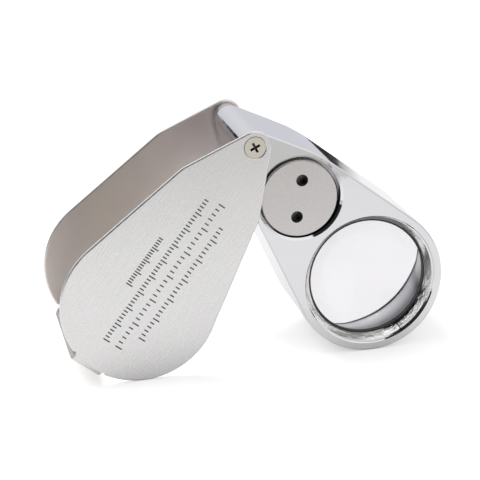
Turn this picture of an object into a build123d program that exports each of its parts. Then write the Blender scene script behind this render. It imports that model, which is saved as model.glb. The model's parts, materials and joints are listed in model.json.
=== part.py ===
from build123d import *
from math import acos, atan2, cos, degrees, hypot, radians, sin
import os

# Folding pocket loupe: a chromed body with two lenses, a battery bay and a rear light board swings
# on a pivot between the two plates of a folded sheet cover.
#
# Every piece is drawn in a plan frame: x runs across, -y runs from the pivot to the round end, and
# z points out of the front. The plan frame is then stood upright, so that plan z becomes world -Y.
# World: +Z up, front toward -Y, origin on the ground under the middle of the object.

# ---- stance, degrees ----
COVER_LEAN = 39.25          # cover's long axis from straight down, toward -X

# ---- cover: one folded sheet, millimetres ----
SHEET = 0.9
COVER_DEPTH = 28.5          # outside to outside over both plates
COVER_TIP_R = 3.4
COVER_KINK_X = 9.95         # half width where the flank changes direction
COVER_KINK_Y = 11.65        # that point's distance from the pivot
COVER_END_R = 16.35
COVER_END_Y = 39.9          # pivot to the centre of the round end
WEB_WIDTH = 6.8             # strip that joins the plates beyond the round end
WEB_X = -1.6                # its middle, a little off the long axis
WEB_PROUD = 0.7             # how far its outside stands beyond the round end
BEND_R = 0.6                # inside radius of the two bends
WEB_ROOT = 6.0              # length of the web strip, part of it inside the round end
EDGE_ROUND = 0.4            # tumbled sheet edges
COVER_KINK_ROUND = 8.0
RELIEF_R = 0.45             # notches beside the bends

# ---- pivot ----
SLEEVE_R = 1.70
RUNNING = 0.05              # clearance between pieces that move on each other
THREAD_R = 1.25             # M2.5
SINK_R = 2.40               # countersink mouth
HEAD_R = 2.20               # screw head, with a short straight side above its cone
HEAD_SUNK = 0.10
SCREW_LENGTH = 7.0
CROSS_SIZE = 2.2
CROSS_WIDTH = 0.5
CROSS_DEPTH = 1.0
CROSS_TAPER = 12            # degrees
WASHER_R = 2.9
FRONT_WASHER = 0.15
SPACER_R = 2.8
CUP_SPRING = 0.65           # free height of the cup spring
CUP_SPRING_SHEET = 0.3

# ---- loupe body ----
BODY_TIP_R = 3.12
BODY_KINK_X = 9.10
BODY_KINK_Y = 11.0
BODY_KINK_ROUND = 30.0
BODY_END_R = 15.73
BODY_END_Y = 39.6           # pivot to the lens axis
BODY_DEPTH = 22.8
BODY_EDGE_ROUND = 0.35

# ---- lenses ----
MOUTH_R = 14.15
MOUTH_CHAMFER = 0.2
RING_SINK = 0.8             # body face to ring face
RING_DEPTH = 1.9
RING_LAND = 0.2             # flat face around the ring's cone
RING_LIP = 0.2              # straight edge below the cone, on the glass
APERTURE_R = 12.65
RING_GAP = 0.2
RING_GAP_TURN = -8          # degrees from the body's long axis
LENS_R = 13.0
LENS_CLEAR_R = 12.35        # radius of the curved faces
LENS_CURVE = 45.0
FRONT_LENS_EDGE = 2.4
REAR_LENS_EDGE = 2.0
SPACER_BORE_R = 12.4
HOOD_R = 13.9
HOOD_BORE_R = 12.4
HOOD_PROUD = 3.3
HOOD_SPIGOT = 1.65
HOOD_CHAMFER = 0.4

# ---- battery bay ----
BAY_Y = 15.3                # pivot to the bay's axis
COUNTERBORE_R = 8.65
COUNTERBORE_DEPTH = 2.5
COUNTERBORE_CHAMFER = 0.45
COUNTERBORE_X = 0.22        # its axis stands a little off the thread's axis
COUNTERBORE_Y = 0.20
CAP_R = 8.20
CAP_HEAD = 1.7              # thickness of the head above the thread
CAP_THREAD_R = 7.95
CAP_DEPTH = 3.1
CAP_SINK = 0.6
CAP_BEVEL = 0.28
SPANNER_HOLE_R = 1.25
SPANNER_HOLE_AT = 3.9
SPANNER_HOLE_DEPTH = 2.3
SPANNER_TURN = 43.0
CAP_THREAD_DEPTH = 4.15     # body face to the end of the cap's thread
BAY_R = 7.75
CELL_R = 5.8
CELL_HEIGHT = 3.05
CELL_ROUND = 0.2
CELL_BUTTON = 0.3
CELL_BUTTON_R = 4.75
CELL_COUNT = 3
CONTACT_R = 5.5
CONTACT_SHEET = 0.4
CUP_SINK = 0.15             # end of the cap's thread to the cup's rim
CUP_FLOOR = 0.8
CUP_BORE_R = 5.9
SPRING_ROOM = 2.2           # rivet head to the last cell
SPRING_WIRE_R = 0.2
SPRING_LOW_R = 1.5
SPRING_HIGH_R = 3.6
SPRING_TURNS = 2.5
RIVET_HEAD = 0.3
RIVET_HEAD_R = 2.0
RIVET_TAIL_R = 1.3
RIVET_R = 0.9
BUSH_R = 1.5

# ---- rear light bay ----
PARTITION = 1.2
LIGHT_BAY_R = 8.8
COVER_DISC_R = 9.4
COVER_DISC = 0.8
BOARD = 0.8
BOARD_R = 8.5
BOARD_GAP = 0.8             # partition to board
POST_X = 7.3
POST_Y = 14.5
POST_R = 1.5
POST_CLEARANCE = 0.2
SMALL_SCREW_R = 0.8
SMALL_SCREW_SHORT = 0.6     # screw tip to the end of its pilot hole
SMALL_HEAD_R = 1.4
SMALL_HEAD_SUNK = 0.05
SMALL_SLOT = 0.35           # driver slot, width and depth
LED_X = 3.0
LED_Y = 21.7
LED_R = 1.5
LED_BARREL = 2.6
LED_FLANGE_R = 1.7
LED_FLANGE = 0.6
WINDOW_CLEARANCE = 0.1
LEAD_R = 0.25
LEAD_STEP = 0.9             # half the spacing of one LED's leads
LEAD_TAIL = 0.4
RESISTOR_Y = 18.3
RESISTOR_R = 0.8
RESISTOR_LENGTH = 3.4
RESISTOR_ROUND = 0.25
RESISTOR_ARM = 0.5          # body end to the bend of the lead

# ---- slide switch on the board ----
SWITCH_Y = 11.9
SWITCH_LENGTH = 7.2
SWITCH_WIDTH = 3.6
SWITCH_HEIGHT = 2.5
SWITCH_SHEET = 0.25
SWITCH_BASE = 0.9
SWITCH_TRAVEL = 2.0         # each way from the middle
KNOB = 1.5
KNOB_PROUD = 1.35
CARRIAGE_LENGTH = 2.4
CARRIAGE_WIDTH = 2.8
WIPER = 0.15
WIPER_LENGTH = 2.2
WIPER_WIDTH = 1.8
SLOT_CLEARANCE = 0.1        # knob to each side of the slot in the shell
LID_CLEARANCE = 0.2         # knob to each side of the slot in the lid
RIB_GROOVE = 0.25
RIB_DEPTH = 0.2
RIB_PITCH = 0.4

# ---- levels along plan z ----
COVER_FRONT = COVER_DEPTH / 2
PLATE_INSIDE = COVER_FRONT - SHEET
BODY_FRONT = PLATE_INSIDE - FRONT_WASHER - RUNNING
BODY_REAR = BODY_FRONT - BODY_DEPTH
RING_FRONT = BODY_FRONT - RING_SINK
RING_REAR = RING_FRONT - RING_DEPTH
RING_R = MOUTH_R - MOUTH_CHAMFER
FRONT_LENS_REAR = RING_REAR - FRONT_LENS_EDGE
HOOD_TOP = BODY_REAR + HOOD_SPIGOT
REAR_LENS_FRONT = HOOD_TOP + REAR_LENS_EDGE
CAP_FRONT = BODY_FRONT - CAP_SINK
CAP_REAR = CAP_FRONT - CAP_DEPTH
CAP_SHOULDER = CAP_FRONT - CAP_HEAD
CELLS_FRONT = CAP_REAR - CONTACT_SHEET
CELLS_REAR = CELLS_FRONT - CELL_COUNT * CELL_HEIGHT
RIVET_FRONT = CELLS_REAR - SPRING_ROOM
CUP_FLOOR_FRONT = RIVET_FRONT - RIVET_HEAD
BAY_FLOOR = CUP_FLOOR_FRONT - CUP_FLOOR
LIGHT_BAY_FLOOR = BAY_FLOOR - PARTITION
BOARD_FRONT = LIGHT_BAY_FLOOR - BOARD_GAP
BOARD_REAR = BOARD_FRONT - BOARD
DISC_INSIDE = BODY_REAR + COVER_DISC
SWITCH_REAR = BOARD_REAR - SWITCH_HEIGHT

# ---- stance worked out from the outlines ----
PIVOT_Z = COVER_END_Y * cos(radians(COVER_LEAN)) + COVER_END_R
BODY_LEAN = degrees(acos((PIVOT_Z - BODY_END_R) / BODY_END_Y))
REACH_LEFT = COVER_END_Y * sin(radians(COVER_LEAN)) + COVER_END_R
REACH_RIGHT = BODY_END_Y * sin(radians(BODY_LEAN)) + BODY_END_R
PIVOT_X = (REACH_LEFT - REACH_RIGHT) / 2


# ---- shared shapes ----
def disc(radius, bottom, top, x=0.0, y=0.0):
    """Solid cylinder along z between two levels."""
    return Pos(x, y, (bottom + top) / 2) * Cylinder(radius, top - bottom)


def ring(outer, inner, bottom, top, x=0.0, y=0.0):
    return disc(outer, bottom, top, x, y) - disc(inner, bottom, top, x, y)


def frustum(bottom_r, top_r, bottom, top, x=0.0, y=0.0):
    return Pos(x, y, (bottom + top) / 2) * Cone(bottom_r, top_r, top - bottom)


def block(length, width, bottom, top, x=0.0, y=0.0):
    return Pos(x, y, (bottom + top) / 2) * Box(length, width, top - bottom)


def touch_point(start, centre_y, radius, side):
    """Where a line from start touches the circle about (0, centre_y)."""
    x, y = start[0], start[1] - centre_y
    angle = atan2(y, x) + side * acos(radius / hypot(x, y))
    return (radius * cos(angle), centre_y + radius * sin(angle))


def teardrop(tip_r, kink_x, kink_y, kink_round, end_r, end_y):
    """Face with a small round tip at the pivot, kinked flanks and a large round end."""
    kink = (kink_x, -kink_y)
    tip = touch_point(kink, 0, tip_r, +1)
    end = touch_point(kink, -end_y, end_r, -1)
    right = [tip, kink, end]
    left = [(-x, y) for x, y in reversed(right)]
    outline = [
        Line(right[0], right[1]),
        Line(right[1], right[2]),
        ThreePointArc(right[2], (0, -end_y - end_r), left[0]),
        Line(left[0], left[1]),
        Line(left[1], left[2]),
        ThreePointArc(left[2], (0, tip_r), right[0]),
    ]
    face = make_face(Wire(outline))
    corners = [v for v in face.vertices() if abs(abs(v.X) - kink_x) < 1e-6]
    return fillet(corners, kink_round)


def slab(face, bottom, top, rounding):
    """Prism of a plan face, with its outer edges rounded front and rear."""
    solid = Pos(0, 0, bottom) * extrude(face, top - bottom)
    ends = solid.faces().filter_by(Axis.Z)
    return fillet([edge for end in ends for edge in end.edges()], rounding)


def lens(front_edge, rear_edge):
    """Biconvex lens with a flat seat around each curved face, given the levels of its seats."""
    drop = (LENS_CURVE**2 - LENS_CLEAR_R**2) ** 0.5
    bulge = LENS_CURVE - drop
    glass = disc(LENS_CLEAR_R, rear_edge - bulge, front_edge + bulge)
    glass &= Pos(0, 0, front_edge - drop) * Sphere(LENS_CURVE)
    glass &= Pos(0, 0, rear_edge + drop) * Sphere(LENS_CURVE)
    return Pos(0, -BODY_END_Y, 0) * (disc(LENS_R, rear_edge, front_edge) + glass)


def cross_recess(top, turn):
    """Tapered cross, cut downward from a screw head."""
    cross = Rectangle(CROSS_SIZE, CROSS_WIDTH) + Rectangle(CROSS_WIDTH, CROSS_SIZE)
    return Pos(0, 0, top) * Rot(0, 0, turn) * extrude(cross, -CROSS_DEPTH, taper=CROSS_TAPER)


# ---- cover ----
def countersink(front):
    """Cutter for a countersunk hole through the front plate (+1) or the rear plate (-1)."""
    hole = frustum(SINK_R - SHEET, SINK_R, PLATE_INSIDE, COVER_FRONT)
    return hole if front > 0 else hole.mirror(Plane.XY)


def web():
    """Strip beyond the round end that joins the two plates, with its two bends."""
    far = COVER_END_Y + COVER_END_R + WEB_PROUD
    root = far - WEB_ROOT
    outside = Pos(WEB_X, -(far + root) / 2, 0) * Box(WEB_WIDTH, far - root, COVER_DEPTH)
    outside = fillet(outside.faces().sort_by(Axis.Y)[0].edges().filter_by(Axis.X), BEND_R + SHEET)
    inside_far = far - SHEET
    middle = -(inside_far + root) / 2
    inside = Pos(WEB_X, middle, 0) * Box(WEB_WIDTH, inside_far - root, 2 * PLATE_INSIDE)
    inside = fillet(inside.faces().sort_by(Axis.Y)[0].edges().filter_by(Axis.X), BEND_R)
    return outside - inside


def relief_notch(side):
    """Round notch where the plates' arcs meet one side of the web."""
    x = WEB_X + side * (WEB_WIDTH / 2 + RELIEF_R)
    y = -COVER_END_Y - (COVER_END_R**2 - x**2) ** 0.5
    return disc(RELIEF_R, -COVER_FRONT, COVER_FRONT, x, y)


def cover_shell():
    outline = teardrop(
        COVER_TIP_R, COVER_KINK_X, COVER_KINK_Y, COVER_KINK_ROUND, COVER_END_R, COVER_END_Y
    )
    front = slab(outline, PLATE_INSIDE, COVER_FRONT, EDGE_ROUND)
    rear = slab(outline, -COVER_FRONT, -PLATE_INSIDE, EDGE_ROUND)
    notches = [relief_notch(side) for side in (-1, 1)]
    return front + rear + web() - countersink(+1) - countersink(-1) - notches


# ---- pivot ----
def pivot_sleeve():
    """Threaded barrel clamped between the plates; the body turns on it."""
    return ring(SLEEVE_R, THREAD_R, -PLATE_INSIDE, PLATE_INSIDE)


def pivot_screw(turn):
    """Countersunk cross-head screw, drawn at the front plate."""
    top = COVER_FRONT - HEAD_SUNK
    cone_top = COVER_FRONT - (SINK_R - HEAD_R)
    head = frustum(SINK_R - SHEET, HEAD_R, PLATE_INSIDE, cone_top) + disc(HEAD_R, cone_top, top)
    shank = disc(THREAD_R, PLATE_INSIDE - SCREW_LENGTH, PLATE_INSIDE)
    return head + shank - cross_recess(top, turn)


def friction_washer():
    return ring(WASHER_R, SLEEVE_R + RUNNING, PLATE_INSIDE - FRONT_WASHER, PLATE_INSIDE)


def pivot_spacer():
    """Collar that fills the rear gap up to the cup spring."""
    return ring(SPACER_R, SLEEVE_R + RUNNING, -PLATE_INSIDE, BODY_REAR - RUNNING - CUP_SPRING)


def cup_spring():
    """Cone washer between the collar and the body's rear face."""
    high = BODY_REAR - RUNNING
    low = high - CUP_SPRING
    inner = SLEEVE_R + RUNNING
    section = Polyline(
        (inner, 0, high - CUP_SPRING_SHEET),
        (inner, 0, high),
        (SPACER_R, 0, low + CUP_SPRING_SHEET),
        (SPACER_R, 0, low),
        close=True,
    )
    return revolve(make_face(section), Axis.Z)


# ---- loupe body ----
def lens_bore():
    """Chamfered mouth, ring seat and straight bore, as one cutter."""
    mouth = frustum(RING_R, MOUTH_R, BODY_FRONT - MOUTH_CHAMFER, BODY_FRONT)
    seat = disc(RING_R, RING_REAR, BODY_FRONT - MOUTH_CHAMFER)
    bore = disc(LENS_R, BODY_REAR, RING_REAR)
    return Pos(0, -BODY_END_Y, 0) * (mouth + seat + bore)


def battery_bore():
    """Deep counterbore for the cap's head, thread, bay and bush hole, as one cutter."""
    chamfer = COUNTERBORE_CHAMFER
    step = BODY_FRONT - COUNTERBORE_DEPTH
    thread_end = BODY_FRONT - CAP_THREAD_DEPTH
    mouth = frustum(COUNTERBORE_R, COUNTERBORE_R + chamfer, BODY_FRONT - chamfer, BODY_FRONT)
    recess = Pos(COUNTERBORE_X, COUNTERBORE_Y, 0) * (mouth + disc(COUNTERBORE_R, step, BODY_FRONT))
    thread = disc(CAP_THREAD_R + RUNNING, thread_end, step)
    bay = disc(BAY_R, BAY_FLOOR, thread_end)
    bush_hole = disc(BUSH_R, LIGHT_BAY_FLOOR, BAY_FLOOR)
    return Pos(0, -BAY_Y, 0) * (recess + thread + bay + bush_hole)


def light_bay():
    """Rear pocket for the board, less the two screw posts left standing in it."""
    pocket = disc(LIGHT_BAY_R, DISC_INSIDE, LIGHT_BAY_FLOOR, 0, -BAY_Y)
    recess = disc(COVER_DISC_R, BODY_REAR, DISC_INSIDE, 0, -BAY_Y)
    posts = [disc(POST_R, DISC_INSIDE, LIGHT_BAY_FLOOR, x, -POST_Y) for x in (-POST_X, POST_X)]
    pilots = [disc(SMALL_SCREW_R, DISC_INSIDE, BOARD_FRONT, x, -POST_Y) for x in (-POST_X, POST_X)]
    return pocket + recess - posts + pilots


def loupe_body():
    outline = teardrop(BODY_TIP_R, BODY_KINK_X, BODY_KINK_Y, BODY_KINK_ROUND, BODY_END_R, BODY_END_Y)
    block_out = slab(outline, BODY_REAR, BODY_FRONT, BODY_EDGE_ROUND)
    pivot_hole = disc(SLEEVE_R + RUNNING, BODY_REAR, BODY_FRONT)
    return block_out - pivot_hole - lens_bore() - battery_bore() - light_bay()


# ---- lens stack ----
def retaining_ring():
    """Split spring ring in front of the front lens, with a conical face that opens to the front."""
    low = RING_REAR + RING_LIP
    body = ring(RING_R, APERTURE_R, RING_REAR, RING_FRONT)
    cone = frustum(APERTURE_R, RING_R - RING_LAND, low, RING_FRONT)
    gap = block(RING_GAP, MOUTH_R, RING_REAR, RING_FRONT, 0, -MOUTH_R / 2)
    return Pos(0, -BODY_END_Y, 0) * (body - cone - Rot(0, 0, RING_GAP_TURN) * gap)


def lens_spacer():
    return ring(LENS_R, SPACER_BORE_R, REAR_LENS_FRONT, FRONT_LENS_REAR, 0, -BODY_END_Y)


def object_hood():
    """Collar around the rear lens, seated in the bore and standing off the rear face."""
    low = BODY_REAR - HOOD_PROUD
    edge = low + HOOD_CHAMFER
    spigot = disc(LENS_R, BODY_REAR, HOOD_TOP)
    collar = disc(HOOD_R, edge, BODY_REAR) + frustum(HOOD_R - HOOD_CHAMFER, HOOD_R, low, edge)
    return Pos(0, -BODY_END_Y, 0) * (spigot + collar - disc(HOOD_BORE_R, low, HOOD_TOP))


# ---- battery bay pieces ----
def battery_cup():
    """Insulating cup with a bush that carries the rivet through the partition."""
    top = BODY_FRONT - CAP_THREAD_DEPTH - CUP_SINK
    cup = disc(BAY_R, BAY_FLOOR, top) - disc(CUP_BORE_R, CUP_FLOOR_FRONT, top)
    bush = disc(BUSH_R, BOARD_FRONT, BAY_FLOOR)
    return Pos(0, -BAY_Y, 0) * (cup + bush - disc(RIVET_R, BOARD_FRONT, CUP_FLOOR_FRONT))


def button_cell(index):
    """Cell number index, counted from the cap, with its smaller terminal to the rear."""
    top = CELLS_FRONT - index * CELL_HEIGHT
    low = top - CELL_HEIGHT
    can = fillet(disc(CELL_R, low + CELL_BUTTON, top).edges(), CELL_ROUND)
    button = disc(CELL_BUTTON_R, low, low + CELL_BUTTON)
    return Pos(0, -BAY_Y, 0) * (can + button)


def contact_spring():
    """Conical coil from the rivet head up to the last cell."""
    rise = SPRING_ROOM - 2 * SPRING_WIRE_R - RUNNING
    slope = degrees(atan2(SPRING_HIGH_R - SPRING_LOW_R, rise))
    path = Helix(rise / SPRING_TURNS, rise, SPRING_LOW_R, cone_angle=slope)
    section = Plane(origin=path @ 0, z_dir=path % 0) * Circle(SPRING_WIRE_R)
    coil = sweep(section, path=path)
    return Pos(0, -BAY_Y, RIVET_FRONT + SPRING_WIRE_R + RUNNING / 2) * coil


def contact_rivet():
    head = disc(RIVET_HEAD_R, CUP_FLOOR_FRONT, RIVET_FRONT)
    shank = disc(RIVET_R, BOARD_REAR, CUP_FLOOR_FRONT)
    tail = disc(RIVET_TAIL_R, BOARD_REAR - RIVET_HEAD, BOARD_REAR)
    return Pos(0, -BAY_Y, 0) * (head + shank + tail)


def cap_contact():
    """Plate that passes current from the first cell to the cap and doesn't turn with it."""
    return disc(CONTACT_R, CELLS_FRONT, CAP_REAR, 0, -BAY_Y)


def battery_cap():
    """Bevelled head over a narrower threaded plug, with two holes for a spanner."""
    plug = disc(CAP_THREAD_R, CAP_REAR, CAP_SHOULDER)
    head = disc(CAP_R, CAP_SHOULDER, CAP_FRONT - CAP_BEVEL)
    bevel = frustum(CAP_R, CAP_R - CAP_BEVEL, CAP_FRONT - CAP_BEVEL, CAP_FRONT)
    hole = disc(SPANNER_HOLE_R, CAP_FRONT - SPANNER_HOLE_DEPTH, CAP_FRONT, SPANNER_HOLE_AT)
    holes = [Rot(0, 0, SPANNER_TURN + half_turn) * hole for half_turn in (0, 180)]
    return Pos(0, -BAY_Y, 0) * (plug + head + bevel - holes)


# ---- rear light bay pieces ----
def lead_places():
    """Plan positions of the four LED leads."""
    return [(side * LED_X + step, -LED_Y) for side in (-1, 1) for step in (-LEAD_STEP, LEAD_STEP)]


def circuit_board():
    board = disc(BOARD_R, BOARD_REAR, BOARD_FRONT, 0, -BAY_Y)
    notch_r = POST_R + POST_CLEARANCE
    notches = [disc(notch_r, BOARD_REAR, BOARD_FRONT, x, -POST_Y) for x in (-POST_X, POST_X)]
    rivet_hole = disc(RIVET_R, BOARD_REAR, BOARD_FRONT, 0, -BAY_Y)
    lead_holes = [disc(LEAD_R, BOARD_REAR, BOARD_FRONT, x, y) for x, y in lead_places()]
    return board - notches - rivet_hole - lead_holes


def led(x):
    barrel_end = BOARD_REAR - LED_BARREL
    flange = disc(LED_FLANGE_R, BOARD_REAR - LED_FLANGE, BOARD_REAR)
    barrel = disc(LED_R, barrel_end, BOARD_REAR)
    dome = Pos(0, 0, barrel_end) * Sphere(LED_R)
    return Pos(x, -LED_Y, 0) * (flange + barrel + dome)


def led_leads():
    """Trimmed leads through the board, one group."""
    top = BOARD_FRONT + LEAD_TAIL
    return Compound([disc(LEAD_R, BOARD_REAR, top, x, y) for x, y in lead_places()])


def resistor():
    """Axial resistor lying on the board, with its two bent leads."""
    axis_z = BOARD_REAR - RESISTOR_R
    body = Pos(0, -RESISTOR_Y, axis_z) * Rot(0, 90, 0) * Cylinder(RESISTOR_R, RESISTOR_LENGTH)
    body = fillet(body.edges(), RESISTOR_ROUND)
    leg_x = RESISTOR_LENGTH / 2 + RESISTOR_ARM
    arm = Pos(0, -RESISTOR_Y, axis_z) * Rot(0, 90, 0) * Cylinder(LEAD_R, 2 * leg_x)
    legs = [disc(LEAD_R, axis_z - LEAD_R, BOARD_REAR, x, -RESISTOR_Y) for x in (-leg_x, leg_x)]
    return body + arm + legs


def rear_disc():
    """Flush lid of the light bay, with the switch slot and the two light holes."""
    disc_r = COVER_DISC_R - RUNNING
    lid = disc(disc_r, BODY_REAR, DISC_INSIDE, 0, -BAY_Y)
    slot_width = KNOB + 2 * LID_CLEARANCE
    slot = block(slot_width + 2 * SWITCH_TRAVEL, slot_width, BODY_REAR, DISC_INSIDE, 0, -SWITCH_Y)
    window_r = LED_R + WINDOW_CLEARANCE
    windows = [disc(window_r, BODY_REAR, DISC_INSIDE, x, -LED_Y) for x in (-LED_X, LED_X)]
    sinks = [small_countersink(x) for x in (-POST_X, POST_X)]
    return lid - slot - windows - sinks


def small_countersink(x):
    hole = disc(SMALL_SCREW_R, BODY_REAR, DISC_INSIDE, x, -POST_Y)
    cone_top = BODY_REAR + SMALL_HEAD_R - SMALL_SCREW_R
    return hole + frustum(SMALL_HEAD_R, SMALL_SCREW_R, BODY_REAR, cone_top, x, -POST_Y)


def small_screw(x):
    low = BODY_REAR + SMALL_HEAD_SUNK
    cone_top = BODY_REAR + SMALL_HEAD_R - SMALL_SCREW_R
    head = frustum(SMALL_HEAD_R - SMALL_HEAD_SUNK, SMALL_SCREW_R, low, cone_top)
    shank = disc(SMALL_SCREW_R, cone_top, BOARD_FRONT - SMALL_SCREW_SHORT)
    slot = block(2 * SMALL_HEAD_R, SMALL_SLOT, low, low + SMALL_SLOT)
    return Pos(x, -POST_Y, 0) * (head + shank - slot)


def rear_disc_screws():
    return Compound([small_screw(x) for x in (-POST_X, POST_X)])


# ---- slide switch ----
def switch_base():
    """Moulded base that carries the fixed contacts."""
    inside = SWITCH_LENGTH - 2 * SWITCH_SHEET
    width = SWITCH_WIDTH - 2 * SWITCH_SHEET
    return block(inside, width, BOARD_REAR - SWITCH_BASE, BOARD_REAR, 0, -SWITCH_Y)


def switch_shell():
    """Folded metal can over the switch, open at the board and slotted for the knob."""
    outside = block(SWITCH_LENGTH, SWITCH_WIDTH, SWITCH_REAR, BOARD_REAR)
    room_length = SWITCH_LENGTH - 2 * SWITCH_SHEET
    room_width = SWITCH_WIDTH - 2 * SWITCH_SHEET
    room = block(room_length, room_width, SWITCH_REAR + SWITCH_SHEET, BOARD_REAR)
    slot_width = KNOB + 2 * SLOT_CLEARANCE
    slot = block(slot_width + 2 * SWITCH_TRAVEL, slot_width, SWITCH_REAR, SWITCH_REAR + SWITCH_SHEET)
    return Pos(0, -SWITCH_Y, 0) * (outside - room - slot)


def switch_wiper():
    """Spring plate under the carriage that bridges the contacts."""
    top = BOARD_REAR - SWITCH_BASE - RUNNING
    return block(WIPER_LENGTH, WIPER_WIDTH, top - WIPER, top, 0, -SWITCH_Y)


def switch_slider():
    """Carriage and ribbed knob, in one moulding."""
    top = BOARD_REAR - SWITCH_BASE - RUNNING - WIPER
    under_shell = SWITCH_REAR + SWITCH_SHEET + RUNNING
    low = BODY_REAR - KNOB_PROUD
    carriage = block(CARRIAGE_LENGTH, CARRIAGE_WIDTH, under_shell, top)
    knob = block(KNOB, KNOB, low, under_shell)
    groove = block(RIB_GROOVE, KNOB, low, low + RIB_DEPTH)
    grooves = [Pos(x, 0, 0) * groove for x in (-RIB_PITCH, 0, RIB_PITCH)]
    return Pos(0, -SWITCH_Y, 0) * (carriage + knob - grooves)


# ---- assembly ----
def cover_pieces():
    """Pieces that stay with the cover, in the cover's plan frame."""
    return {
        "cover_shell": cover_shell(),
        "pivot_sleeve": pivot_sleeve(),
        "pivot_screw_front": pivot_screw(65),
        "pivot_screw_rear": Rot(0, 180, 0) * pivot_screw(20),
        "friction_washer": friction_washer(),
        "pivot_spacer": pivot_spacer(),
        "cup_spring": cup_spring(),
    }


def lens_pieces():
    return {
        "retaining_ring": retaining_ring(),
        "front_lens": lens(RING_REAR, FRONT_LENS_REAR),
        "lens_spacer": lens_spacer(),
        "rear_lens": lens(REAR_LENS_FRONT, HOOD_TOP),
        "object_hood": object_hood(),
    }


def battery_pieces():
    return {
        "battery_cup": battery_cup(),
        "cell_front": button_cell(0),
        "cell_middle": button_cell(1),
        "cell_rear": button_cell(2),
        "contact_spring": contact_spring(),
        "contact_rivet": contact_rivet(),
        "cap_contact": cap_contact(),
        "battery_cap": battery_cap(),
    }


def light_pieces():
    return {
        "circuit_board": circuit_board(),
        "led_white": led(LED_X),
        "led_violet": led(-LED_X),
        "led_leads": led_leads(),
        "resistor": resistor(),
        "switch_base": switch_base(),
        "switch_shell": switch_shell(),
        "switch_wiper": switch_wiper(),
        "switch_slider": switch_slider(),
        "rear_disc": rear_disc(),
        "rear_disc_screws": rear_disc_screws(),
    }


def stand(pieces, lean):
    """Turn plan pieces about the pivot and stand them upright at its place."""
    upright = Plane(origin=(PIVOT_X, 0, PIVOT_Z), x_dir=(1, 0, 0), z_dir=(0, -1, 0))
    place = upright.location * Rot(0, 0, lean)
    return {name: place * piece for name, piece in pieces.items()}


def main():
    swinging = {"loupe_body": loupe_body(), **lens_pieces(), **battery_pieces(), **light_pieces()}
    nodes = {**stand(cover_pieces(), -COVER_LEAN), **stand(swinging, BODY_LEAN)}
    os.makedirs("parts", exist_ok=True)
    for name, shape in nodes.items():
        shape.label = name
        export_step(shape, f"parts/{name}.step")


main()
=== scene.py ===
import json
import math

import bmesh
import bpy
from mathutils import Matrix, Vector


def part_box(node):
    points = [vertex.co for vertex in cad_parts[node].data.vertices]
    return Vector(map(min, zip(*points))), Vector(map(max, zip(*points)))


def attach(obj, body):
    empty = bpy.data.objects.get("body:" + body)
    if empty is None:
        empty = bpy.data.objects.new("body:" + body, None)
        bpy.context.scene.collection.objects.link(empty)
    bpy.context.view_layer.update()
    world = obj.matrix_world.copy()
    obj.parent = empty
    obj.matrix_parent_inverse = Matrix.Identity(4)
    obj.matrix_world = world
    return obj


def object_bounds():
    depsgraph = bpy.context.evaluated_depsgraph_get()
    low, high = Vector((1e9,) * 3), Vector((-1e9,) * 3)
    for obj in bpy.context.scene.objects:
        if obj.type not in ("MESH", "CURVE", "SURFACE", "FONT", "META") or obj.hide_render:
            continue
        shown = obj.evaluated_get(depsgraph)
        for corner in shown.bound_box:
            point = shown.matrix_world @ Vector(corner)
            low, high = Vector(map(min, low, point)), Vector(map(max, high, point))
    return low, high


# A folding loupe standing open on a white table: brushed sheet cover, chromed lens body, and small
# steel, brass and plastic pieces. All lengths are metres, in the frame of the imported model.

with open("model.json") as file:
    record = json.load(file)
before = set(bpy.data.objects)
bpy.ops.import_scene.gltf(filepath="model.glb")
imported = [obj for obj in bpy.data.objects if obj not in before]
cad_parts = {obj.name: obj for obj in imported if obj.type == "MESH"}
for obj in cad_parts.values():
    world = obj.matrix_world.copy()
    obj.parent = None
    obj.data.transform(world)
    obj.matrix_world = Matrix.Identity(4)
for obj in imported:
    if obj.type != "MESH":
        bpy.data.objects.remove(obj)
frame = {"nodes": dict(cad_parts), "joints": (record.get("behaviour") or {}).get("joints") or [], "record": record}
cad_low, cad_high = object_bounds()

# ---- camera, degrees and metres ----
CAMERA_AZIMUTH = -12.15
CAMERA_ELEVATION = 18.91
CAMERA_ROLL = -2.33
CAMERA_DISTANCE = 0.350
CAMERA_AIM = Vector((0.0001, 0.0, -0.0021))   # from the middle of the object
CAMERA_LENS = 123.4

# ---- table ----
TABLE_FRONT = -0.137
TABLE_BACK = 0.180
TABLE_HALF_WIDTH = 0.28
TABLE_FADE = 0.030             # the far strip of the table that mirrors darker
TABLE_WHITE = 0.56             # reflectance and glow of the table as the camera sees it
TABLE_GLOW = 0.48
TABLE_MIRRORED = 0.52          # reflectance and glow as the plating mirrors it
TABLE_MIRRORED_FAR = 0.24
TABLE_MIRRORED_GLOW = 0.13
WHITE = 1.05                   # just past full white, so that no grey is left

# ---- overhead light, metres and watts ----
LIGHT_PLACE = (-0.25, 0.15, 0.55)
LIGHT_LENGTH = 0.5
LIGHT_WIDTH = 0.35
LIGHT_POWER = 3.2

# ---- dome that the plating mirrors: grey at the horizon, white above ----
DOME_LOW = -3.0                # degrees of elevation between which it brightens
DOME_HIGH = 55.0
HORIZON_FRONT = (0.64, 0.64, 0.62)
HORIZON_BEHIND = (0.66, 0.66, 0.71)
HORIZON_TURN = 0.3             # one turns into the other between this far in front and behind

# ---- dark things in the room that the plating mirrors ----
# azimuth limits, elevation limits and softness of the edges, in degrees
DARK_BEHIND_RIGHT = (5.0, 60.0, -13.0, -9.9, 0.3)
DARK_BEHIND_LEFT = (-60.0, -19.3, -30.0, 3.5, 1.5)
DARK_FRONT_LEFT = (-178.0, -104.0, 2.0, 66.0, 1.5)
DARK_PATCHES = (DARK_BEHIND_RIGHT, DARK_BEHIND_LEFT, DARK_FRONT_LEFT)
DARK_LEVEL = 0.02

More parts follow.
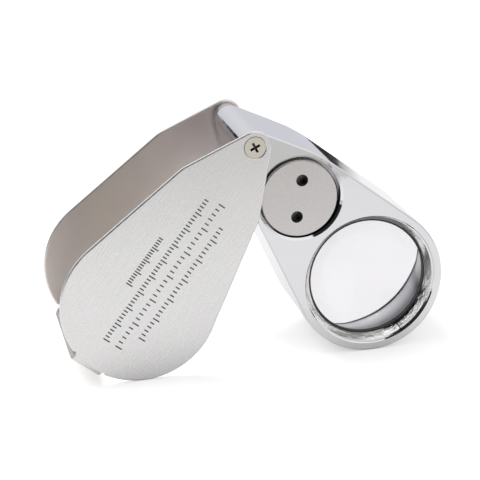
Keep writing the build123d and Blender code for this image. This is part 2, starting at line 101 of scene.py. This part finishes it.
# ---- etched gauge rows on the front plate, in the cover's plan ----
GAUGE_PITCH = 0.00305
GAUGE_LENGTHS = (0.0280, 0.0360, 0.0360, 0.0115)
GAUGE_STEPS = (0.0010, 0.0012, 0.0008, 0.0006)
GAUGE_CENTRE = 0.0315          # from the pivot
GAUGE_TICK = 0.0016
GAUGE_SHORT_TICK = 0.62 * GAUGE_TICK
GAUGE_GROUP = 5                # every fifth tick is long
GAUGE_LINE = 0.00027
GAUGE_THICK = 0.00002

# ---- surface details ----
MM = 0.001
CAVITY = 1.2 * MM              # gaps and corners up to this size get painted shade
SHUT = 0.15                    # open share of the surroundings at which the painted shade of a corner is darkest
OPEN = 0.65                    # and at which a face is as bright as in the open
OPENNESS_SAMPLES = 6
CAP_CAVITY = 2.6 * MM          # reach of the painted shade in the cap's spanner holes
BRUSH = (4000, 900, 160)       # grain of the cover across, through and along the sheet, per metre
SCRATCH = (9000, 900, 120)
SCRATCH_LEAN = 0.3             # radians off the brushing
SKIN_START = 0.7 * MM          # depths in the cover between which its outer finish begins
SKIN_FULL = 0.3 * MM
LENS_RIM = 0.65 * MM           # flat black rim around the lenses' polished faces
RIM_FADE = 0.1 * MM
LENS_CURVE = 45.0 * MM         # radius of the polished faces
LENS_AXIS_R = 1.3 * MM         # the mesh's normals are unsure closer to the axis


# ---- places taken from the frame ----
def joint(name):
    return next(item for item in frame["joints"] if item["name"] == name)


def mount(name):
    return next(item for item in frame["record"]["mounts"] if item["name"] == name)


def middle(node):
    low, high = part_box(node)
    return (low + high) / 2


PIVOT = Vector(joint("loupe_swing")["pos_m"])
COVER_END = Vector(mount("front_plate_face")["pos_m"])
LENS_MIDDLE = middle("front_lens")
LENS_CLEAR_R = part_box("front_lens")[1].x - LENS_MIDDLE.x - LENS_RIM
PLATE_FRONT = COVER_END.y


def plan_angle(end):
    """Angle in the XZ plane from straight down to the line from the pivot to end."""
    return math.atan2(end.x - PIVOT.x, PIVOT.z - end.z)


COVER_ANGLE = plan_angle(COVER_END)


# ---- node building ----
class Shader:
    """The node tree of a new material, with short calls for the nodes used here."""

    def __init__(self, tree):
        self.tree = tree
        self.tree.nodes.clear()

    def put(self, socket, value):
        if isinstance(value, bpy.types.NodeSocket):
            self.tree.links.new(value, socket)
        else:
            socket.default_value = value

    def add(self, kind, inputs=None, **settings):
        node = self.tree.nodes.new("ShaderNode" + kind)
        for key, value in settings.items():
            setattr(node, key, value)
        for key, value in (inputs or {}).items():
            self.put(node.inputs[key], value)
        return node

    def math(self, operation, a, b=0.0, c=0.0):
        return self.add("Math", {0: a, 1: b, 2: c}, operation=operation).outputs[0]

    def vector_math(self, operation, a, b=(0, 0, 0)):
        return self.add("VectorMath", {0: a, 1: b}, operation=operation)

    def blend(self, factor, a, b):
        """Colour a at factor 0, colour b at factor 1."""
        node = self.add("Mix", data_type="RGBA")
        self.put(node.inputs["Factor"], factor)
        self.put(node.inputs[6], a)
        self.put(node.inputs[7], b)
        return node.outputs[2]

    def number_blend(self, factor, a, b):
        node = self.add("Mix", data_type="FLOAT")
        self.put(node.inputs["Factor"], factor)
        self.put(node.inputs[2], a)
        self.put(node.inputs[3], b)
        return node.outputs[0]

    def step(self, value, low, high, to_low=0.0, to_high=1.0):
        """Smooth step from to_low to to_high while value goes from low to high."""
        inputs = {"Value": value, "From Min": low, "From Max": high}
        inputs |= {"To Min": to_low, "To Max": to_high}
        return self.add("MapRange", inputs, interpolation_type="SMOOTHSTEP").outputs[0]

    def noise(self, where, scale, detail, rough):
        inputs = {"Vector": where, "Scale": scale, "Detail": detail, "Roughness": rough}
        return self.add("TexNoise", inputs).outputs[0]

    def bump(self, height, distance, normal=None):
        inputs = {"Height": height, "Distance": distance}
        if normal is not None:
            inputs["Normal"] = normal
        return self.add("Bump", inputs).outputs[0]

    def window(self, value, low, high, soft):
        """1 between low and high, 0 beyond soft on either side."""
        rise = self.step(value, low - soft, low)
        return self.math("MULTIPLY", rise, self.step(value, high + soft, high))

    def place(self):
        """Rest coordinates in metres, also in a pose."""
        return self.add("TexCoord").outputs["Object"]

    def depth(self, where):
        """The coordinate along Y, the line of the pivot and of the lens axis."""
        return self.add("SeparateXYZ", {0: where}).outputs[1]

    def combine(self, x, y, z):
        return self.add("CombineXYZ", {0: x, 1: y, 2: z}).outputs[0]

    def from_axis(self, where, middle):
        """Distance from the line along world Y through middle."""
        off = self.vector_math("SUBTRACT", where, middle).outputs[0]
        flat = self.vector_math("MULTIPLY", off, (1, 0, 1)).outputs[0]
        return self.vector_math("LENGTH", flat).outputs["Value"]

    def painted_cavity_shade(self, reach, dark):
        """1 on open faces, down to dark in gaps and corners narrower than reach: painted shade in the colour."""
        samples = OPENNESS_SAMPLES
        occlusion = self.add("AmbientOcclusion", {"Distance": reach}, samples=samples).outputs["AO"]
        return self.step(occlusion, SHUT, OPEN, dark)

    def dimmed(self, tint, amount):
        """Colour tint times the number amount."""
        return self.blend(amount, grey(0.0), tint)

    def through_glass(self):
        """1 for rays that have passed through the lenses and met no mirror on the way."""
        rays = self.add("LightPath").outputs
        passed = self.math("MINIMUM", rays["Transmission Depth"], 1.0)
        mirrors = self.math("MINIMUM", rays["Glossy Depth"], 1.0)
        return self.math("MULTIPLY", passed, self.math("SUBTRACT", 1.0, mirrors))

    def seen_directly(self):
        """1 for rays from the camera or through the glass, 0 for reflections and light."""
        from_camera = self.add("LightPath").outputs["Is Camera Ray"]
        return self.math("MAXIMUM", from_camera, self.through_glass())

    def mirrored(self):
        """1 for reflections, also those that pass through the glass afterwards."""
        rays = self.add("LightPath").outputs
        mirrors = self.math("MINIMUM", rays["Glossy Depth"], 1.0)
        after = self.math("MULTIPLY", mirrors, rays["Is Transmission Ray"])
        return self.math("MAXIMUM", rays["Is Glossy Ray"], after)

    def turned(self, where, angle, stretch):
        """Coordinates turned about world Y, so that local z runs along a plate, then scaled."""
        spun = self.add("Mapping", {"Vector": where, "Rotation": (0, angle, 0)}, vector_type="POINT")
        return self.vector_math("MULTIPLY", spun.outputs[0], stretch).outputs[0]


def surface(name):
    material = bpy.data.materials.new(name)
    material.use_nodes = True
    return material, Shader(material.node_tree)


def finish_surface(shader, **inputs):
    """Closes a material with a principled surface; names use _ for spaces."""
    named = {key.replace("_", " "): value for key, value in inputs.items()}
    body = shader.add("BsdfPrincipled", named)
    output = shader.add("OutputMaterial")
    shader.put(output.inputs["Surface"], body.outputs[0])


def color(red, green, blue):
    return (red, green, blue, 1.0)


def grey(level):
    return color(level, level, level)


def scaled(tint, amount):
    """Tint made darker or lighter, no component past 1."""
    return color(*[min(1.0, part * amount) for part in tint[:3]])


# ---- materials ----
def cover_sheet():
    """Satin stainless sheet: brushed along the cover outside, cloudy mill finish inside."""
    material, s = surface("cover_sheet_satin")
    where = s.place()
    brush = s.noise(s.turned(where, COVER_ANGLE, BRUSH), 1.0, 3.0, 0.6)
    scratch = s.noise(s.turned(where, COVER_ANGLE + SCRATCH_LEAN, SCRATCH), 1.0, 2.0, 0.5)
    scratched = s.step(scratch, 0.66, 0.82)
    cloud = s.noise(where, 90.0, 3.0, 0.5)
    stain = s.noise(where, 45.0, 2.0, 0.6)
    depth = s.math("ABSOLUTE", s.depth(where))
    outside = s.step(depth, abs(PLATE_FRONT) - SKIN_START, abs(PLATE_FRONT) - SKIN_FULL)
    outer = s.blend(cloud, color(0.79, 0.777, 0.774), color(0.84, 0.83, 0.83))
    outer = s.blend(scratched, outer, color(0.77, 0.76, 0.755))
    inner = s.blend(cloud, color(0.76, 0.715, 0.67), color(0.84, 0.795, 0.75))
    from_pivot = s.vector_math("DISTANCE", where, PIVOT).outputs["Value"]
    inner = s.blend(s.step(from_pivot, 0.0, GAUGE_CENTRE), color(0.84, 0.78, 0.79), inner)
    inner = s.blend(s.step(stain, 0.40, 0.65), inner, color(0.75, 0.69, 0.68))
    # painted shade in the cover's gaps and corners
    tint = s.dimmed(s.blend(outside, inner, outer), s.painted_cavity_shade(CAVITY, 0.35))
    grain_rough = s.math("MULTIPLY_ADD", brush, 0.03, 0.26)
    rough = s.number_blend(outside, s.math("ADD", grain_rough, 0.08), grain_rough)
    relief = s.bump(brush, 0.0000002)
    finish_surface(s, Base_Color=tint, Metallic=1.0, Roughness=rough, Normal=relief)
    return material


def chrome(name, tint, rough, waviness, dark):
    """Bright plating over a casting: slight waviness, hazy patches and small pits."""
    material, s = surface(name)
    where = s.place()
    wave = s.noise(where, 160.0, 2.0, 0.4)
    haze = s.noise(where, 500.0, 4.0, 0.6)
    pit = s.step(s.noise(where, 1400.0, 1.0, 0.5), 0.80, 0.86)
    relief = s.bump(wave, waviness, normal=s.bump(pit, -0.00002))
    hazy = s.step(haze, 0.3, 0.8, rough * 0.7, rough * 1.6)
    shade = s.blend(haze, tint, scaled(tint, 1.04))
    shade = s.blend(pit, shade, scaled(tint, 0.3))
    # painted shade in gaps and corners
    shade = s.dimmed(shade, s.painted_cavity_shade(CAVITY, dark))
    finish_surface(s, Base_Color=shade, Metallic=1.0, Roughness=hazy, Normal=relief)
    return material


def turned_chrome(name, tint, rough):
    """Bright plating over turned steel: fine rings about the lens axis that break up reflections."""
    material, s = surface(name)
    where = s.place()
    radius = s.from_axis(where, LENS_MIDDLE)
    rings = s.noise(s.combine(radius, s.depth(where), 0.0), 9000.0, 2.0, 0.6)
    ripple = s.noise(where, 550.0, 3.0, 0.6)
    height = s.math("MULTIPLY_ADD", rings, 0.12, ripple)
    relief = s.bump(height, 0.00008)
    shade = s.blend(ripple, tint, scaled(tint, 1.1))
    finish_surface(s, Base_Color=shade, Metallic=1.0, Roughness=rough, Normal=relief)
    return material


def brushed(name, tint, rough, grain, depth, cavity=CAVITY, dark=0.05):
    """Plain metal with fine grain in all directions."""
    material, s = surface(name)
    where = s.place()
    fine = s.noise(where, grain, 4.0, 0.6)
    cloud = s.noise(where, grain / 12, 2.0, 0.5)
    shade = s.blend(cloud, tint, scaled(tint, 0.92))
    # painted shade in gaps and corners
    shade = s.dimmed(shade, s.painted_cavity_shade(cavity, dark))
    finish_surface(
        s,
        Base_Color=shade,
        Metallic=1.0,
        Roughness=s.step(fine, 0.2, 0.8, rough * 0.9, rough * 1.15),
        Normal=s.bump(fine, depth),
    )
    return material


def bore_metal(name, rough):
    """The tube between the lenses: painted shade toward the front, painted light toward the back where light comes
    in.
    """
    material, s = surface(name)
    where = s.place()
    fine = s.noise(where, 2200.0, 4.0, 0.6)
    low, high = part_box("lens_spacer")
    # painted shade at the front of the tube, painted light at its back
    painted_light_toward_back = s.step(s.depth(where), low.y, high.y)
    shade = s.blend(painted_light_toward_back, color(0.03, 0.03, 0.035), color(0.90, 0.90, 0.91))
    finish_surface(
        s,
        Base_Color=shade,
        Metallic=1.0,
        Roughness=s.step(fine, 0.2, 0.8, rough * 0.9, rough * 1.15),
        Normal=s.bump(fine, 0.000006),
    )
    return material


def plastic(name, tint, rough):
    material, s = surface(name)
    where = s.place()
    fine = s.noise(where, 3000.0, 3.0, 0.6)
    shade = s.blend(fine, tint, scaled(tint, 0.8))
    finish_surface(s, Base_Color=shade, Roughness=rough, Normal=s.bump(fine, 0.000008))
    return material


def lens_normal(s, where, radius):
    """The mesh's normal away from the axis, and that of the true sphere close to it."""
    geometry = s.add("NewGeometry").outputs
    outside = s.math("MULTIPLY_ADD", geometry["Backfacing"], -2.0, 1.0)
    slope = s.math("DIVIDE", outside, LENS_CURVE)
    off = s.vector_math("SUBTRACT", where, LENS_MIDDLE).outputs[0]
    lean = s.vector_math("MULTIPLY", off, s.combine(slope, 0.0, slope)).outputs[0]
    to_world = {"vector_type": "VECTOR", "convert_from": "OBJECT", "convert_to": "WORLD"}
    lean = s.add("VectorTransform", {0: lean}, **to_world).outputs[0]
    facing = s.math("SIGN", s.depth(geometry["Incoming"]))
    leaning = s.vector_math("ADD", s.combine(0.0, facing, 0.0), lean).outputs[0]
    true = s.vector_math("NORMALIZE", leaning).outputs[0]
    return s.blend(s.math("LESS_THAN", radius, LENS_AXIS_R), geometry["Normal"], true)


def lens_glass():
    """Clear glass, faintly clouded; the flat rim outside the polished faces is black and opaque."""
    material, s = surface("lens_glass_clear")
    where = s.place()
    cloud = s.noise(where, 60.0, 2.0, 0.5)
    radius = s.from_axis(where, LENS_MIDDLE)
    rim = s.step(radius, LENS_CLEAR_R - RIM_FADE, LENS_CLEAR_R)
    clear = s.blend(cloud, color(0.95, 0.942, 0.955), color(0.965, 0.958, 0.97))
    finish_surface(
        s,
        Base_Color=s.blend(rim, clear, color(0.01, 0.01, 0.012)),
        Roughness=s.math("MULTIPLY", rim, 0.4),
        IOR=1.5,
        Transmission_Weight=s.math("SUBTRACT", 1.0, rim),
        Normal=lens_normal(s, where, radius),
    )
    return material


def led_resin(name, tint):
    material, s = surface(name)
    cloud = s.noise(s.place(), 1500.0, 2.0, 0.5)
    finish_surface(
        s,
        Base_Color=s.blend(cloud, tint, scaled(tint, 0.9)),
        Roughness=0.08,
        IOR=1.5,
        Transmission_Weight=0.6,
    )
    return material


def finishes():
    """One material for each slot in the record."""
    return {
        "cover_sheet": cover_sheet(),
        "body_chrome": chrome("body_chrome_plate", color(0.80, 0.80, 0.82), 0.05, 0.000015, 0.3),
        "ring_chrome": turned_chrome("ring_chrome_plate", color(1.0, 0.985, 0.965), 0.03),
        "screw_nickel": brushed("screw_nickel_plate", color(0.82, 0.77, 0.69), 0.22, 1800.0, 0.000004),
        "pivot_metal": brushed("pivot_steel", color(0.66, 0.65, 0.63), 0.25, 1500.0, 0.000004),
        "washer_bronze": brushed("washer_bronze", color(0.62, 0.42, 0.25), 0.30, 1500.0, 0.000004),
        "spring_steel": brushed("spring_steel", color(0.56, 0.55, 0.54), 0.25, 1500.0, 0.000004),
        "spacer_aluminium": bore_metal("spacer_aluminium", 0.35),
        "cup_plastic": plastic("cup_plastic_black", color(0.03, 0.03, 0.03), 0.45),
        "cell_steel": brushed("cell_steel", color(0.72, 0.71, 0.69), 0.2, 1500.0, 0.000003),
        "contact_brass": brushed("contact_brass", color(0.80, 0.62, 0.30), 0.25, 1500.0, 0.000004),
        # the cap's spanner holes get deep painted shade, down to 0.01
        "cap_steel": brushed(
            "cap_steel_satin", color(0.70, 0.672, 0.668), 0.28, 1200.0, 0.000002, CAP_CAVITY, 0.01
        ),
        "board": plastic("board_green", color(0.02, 0.12, 0.05), 0.35),
        "led_clear": led_resin("led_clear_resin", color(0.95, 0.95, 0.92)),
        "led_tinted": led_resin("led_violet_resin", color(0.70, 0.66, 0.92)),
        "tinned_lead": brushed("tinned_lead", color(0.70, 0.70, 0.70), 0.3, 1500.0, 0.000004),
        "resistor_body": plastic("resistor_lacquer", color(0.45, 0.33, 0.20), 0.4),
        "switch_moulding": plastic("switch_black", color(0.02, 0.02, 0.02), 0.4),
        "switch_can": brushed("switch_can_tin", color(0.66, 0.66, 0.65), 0.28, 1500.0, 0.000004),
        "disc_steel": brushed("disc_steel_satin", color(0.74, 0.73, 0.72), 0.26, 2400.0, 0.000004),
        "lens_glass": lens_glass(),
    }


def apply_finishes():
    made = finishes()
    slots = {part["node"]: part["material_slot"] for part in frame["record"]["subparts"]}
    for name, node in frame["nodes"].items():
        node.material_slots[0].material = made[slots[name]]


# ---- etched gauge ----
def gauge_marks():
    """Rows of short etched lines on the front plate, a plain spacing gauge."""
    mesh = bmesh.new()
    first = (len(GAUGE_LENGTHS) - 1) / 2
    for row, (length, gap) in enumerate(zip(GAUGE_LENGTHS, GAUGE_STEPS)):
        across = (first - row) * GAUGE_PITCH
        count = int(length / gap) + 1
        for index in range(count):
            tall = GAUGE_SHORT_TICK if index % GAUGE_GROUP else GAUGE_TICK
            down = -GAUGE_CENTRE - length / 2 + index * gap
            place = Matrix.Translation((across + (tall - GAUGE_TICK) / 2, down, 0))
            size = Matrix.Diagonal((tall, GAUGE_LINE, GAUGE_THICK, 1))
            bmesh.ops.create_cube(mesh, size=1.0, matrix=place @ size)
    data = bpy.data.meshes.new("gauge_marks")
    mesh.to_mesh(data)
    mesh.free()
    marks = bpy.data.objects.new("gauge_marks", data)
    bpy.context.scene.collection.objects.link(marks)
    upright = Matrix.Rotation(math.radians(90), 4, "X")
    lean = Matrix.Rotation(-COVER_ANGLE, 4, "Y")
    marks.matrix_world = Matrix.Translation((PIVOT.x, PLATE_FRONT, PIVOT.z)) @ lean @ upright
    material, s = surface("gauge_etch_dark")
    fine = s.noise(s.place(), 4000.0, 3.0, 0.6)
    shade = s.blend(fine, color(0.015, 0.014, 0.014), color(0.05, 0.045, 0.045))
    finish_surface(s, Base_Color=shade, Roughness=0.6)
    data.materials.append(material)
    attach(marks, "cover")
    return marks


# ---- studio ----
def room_patch(s, azimuth, elevation, limits):
    """1 inside a soft-edged rectangle of directions, given in degrees."""
    left, right, low, high, soft = limits
    across = s.window(azimuth, left, right, soft)
    return s.math("MULTIPLY", across, s.window(elevation, low, high, soft))


def studio_world():
    """White for the camera; a bright dome over a grey horizon with dark patches for reflections."""
    world = bpy.data.worlds.new("studio")
    bpy.context.scene.world = world
    world.use_nodes = True
    s = Shader(world.node_tree)
    x, y, z = s.add("SeparateXYZ", {0: s.add("TexCoord").outputs["Generated"]}).outputs
    azimuth = s.math("DEGREES", s.math("ARCTAN2", x, y))
    elevation = s.math("DEGREES", s.math("ARCSINE", z))
    dome = s.step(elevation, DOME_LOW, DOME_HIGH)
    behind = s.step(y, -HORIZON_TURN, HORIZON_TURN)
    horizon = s.blend(behind, color(*HORIZON_FRONT), color(*HORIZON_BEHIND))
    mirrored = s.blend(dome, horizon, grey(1.0))
    for limits in DARK_PATCHES:
        patch = room_patch(s, azimuth, elevation, limits)
        mirrored = s.blend(patch, mirrored, grey(DARK_LEVEL))
    light = s.blend(s.mirrored(), grey(1.0), mirrored)
    shown = s.blend(s.seen_directly(), light, grey(WHITE))
    background = s.add("Background", {"Color": shown, "Strength": 1.0})
    output = s.add("OutputWorld")
    s.put(output.inputs["Surface"], background.outputs[0])


def table():
    data = bpy.data.meshes.new("table")
    mesh = bmesh.new()
    corners = [
        (-TABLE_HALF_WIDTH, TABLE_FRONT, 0),
        (TABLE_HALF_WIDTH, TABLE_FRONT, 0),
        (TABLE_HALF_WIDTH, TABLE_BACK, 0),
        (-TABLE_HALF_WIDTH, TABLE_BACK, 0),
    ]
    mesh.faces.new([mesh.verts.new(corner) for corner in corners])
    mesh.to_mesh(data)
    mesh.free()
    top = bpy.data.objects.new("table", data)
    bpy.context.scene.collection.objects.link(top)
    material, s = surface("table_white")
    seen = s.seen_directly()
    through = s.through_glass()
    far = s.step(s.depth(s.place()), TABLE_BACK - TABLE_FADE, TABLE_BACK)
    mirrored = s.blend(far, grey(TABLE_MIRRORED), grey(TABLE_MIRRORED_FAR))
    tint = s.blend(seen, mirrored, grey(TABLE_WHITE))
    tint = s.blend(through, tint, grey(0.0))
    glow = s.number_blend(through, s.number_blend(seen, TABLE_MIRRORED_GLOW, TABLE_GLOW), WHITE)
    finish_surface(
        s,
        Base_Color=tint,
        Roughness=1.0,
        Specular_IOR_Level=0.0,
        Emission_Color=grey(1.0),
        Emission_Strength=glow,
    )
    data.materials.append(material)


def overhead_light():
    data = bpy.data.lights.new("overhead", "AREA")
    data.shape = "RECTANGLE"
    data.size = LIGHT_LENGTH
    data.size_y = LIGHT_WIDTH
    data.energy = LIGHT_POWER
    light = bpy.data.objects.new("overhead", data)
    bpy.context.scene.collection.objects.link(light)
    light.location = LIGHT_PLACE
    light.visible_glossy = False


def camera():
    azimuth = math.radians(CAMERA_AZIMUTH)
    elevation = math.radians(CAMERA_ELEVATION)
    roll = math.radians(CAMERA_ROLL)
    back = Vector((
        math.sin(azimuth) * math.cos(elevation),
        -math.cos(azimuth) * math.cos(elevation),
        math.sin(elevation),
    ))
    level = Vector((0, 0, 1)).cross(back).normalized()
    upward = back.cross(level)
    right = level * math.cos(roll) + upward * math.sin(roll)
    up = back.cross(right)
    data = bpy.data.cameras.new("camera")
    data.lens = CAMERA_LENS
    data.clip_start = 0.01
    eye = bpy.data.objects.new("camera", data)
    bpy.context.scene.collection.objects.link(eye)
    place = (cad_low + cad_high) / 2 + CAMERA_AIM + back * CAMERA_DISTANCE
    turn = Matrix((right, up, back)).transposed().to_4x4()
    eye.matrix_world = Matrix.Translation(place) @ turn
    bpy.context.scene.camera = eye


apply_finishes()
gauge_marks()
studio_world()
table()
overhead_light()
camera()
bpy.context.scene.view_settings.view_transform = "Standard"
